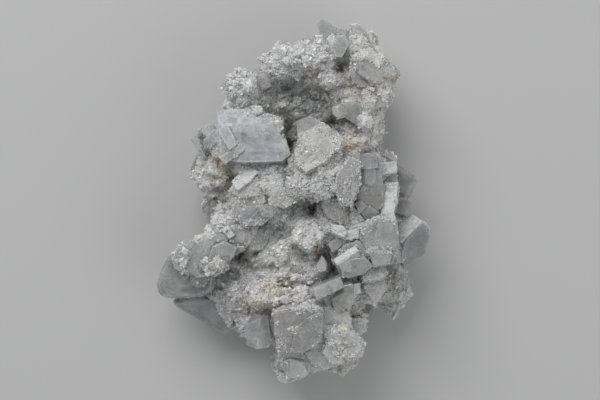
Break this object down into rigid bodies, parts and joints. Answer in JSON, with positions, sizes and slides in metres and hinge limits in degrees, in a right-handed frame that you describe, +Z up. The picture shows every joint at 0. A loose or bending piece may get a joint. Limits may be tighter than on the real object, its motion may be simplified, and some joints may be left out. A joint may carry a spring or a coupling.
{
  "type": "barite specimen",
  "caption": "Lumpy cluster of clear and milky tabular barite crystals on a mass coated with small white crystals.",
  "frame": {"origin": "middle of the underside's resting plane, below the centre of the specimen's length and width", "axes": "+Z up out of the display side while the specimen lies on its back, +Y towards the top of the display side, +X to its right"},
  "size_m": [0.0832, 0.1108, 0.0387],
  "materials": {
    "crystal_coating": "sugary coating of small crystals",
    "milky_barite": "milky, glassy faces",
    "clear_barite": "clear, glassy faces"
  },
  "bodies": {
    "root": {"coated_mass": "crystal_coating", "upper_left_tablet": "milky_barite", "left_edge_blocks": "milky_barite", "left_edge_plate": "clear_barite", "middle_left_prism": "milky_barite", "central_tablet": "milky_barite", "frosted_ledge": "milky_barite", "middle_right_blocks": "milky_barite", "upper_right_tablet": "clear_barite", "right_tablet": "clear_barite", "right_cluster": "milky_barite", "stepped_bars": "milky_barite", "envelope_tablet": "milky_barite", "white_tooth": "milky_barite", "rectangular_tablet": "milky_barite", "waist_tablet": "milky_barite", "lower_tablet": "milky_barite", "lower_wedge": "milky_barite", "lower_left_front_tablet": "clear_barite", "lower_left_back_tablet": "clear_barite", "pointed_plate": "milky_barite", "shaded_point": "clear_barite", "serrated_plate": "clear_barite", "top_blade": "clear_barite", "crown_plate": "milky_barite", "brow_plate": "milky_barite", "crown_inner_plate": "milky_barite", "vug_plate": "clear_barite"}
  },
  "joints": []
}
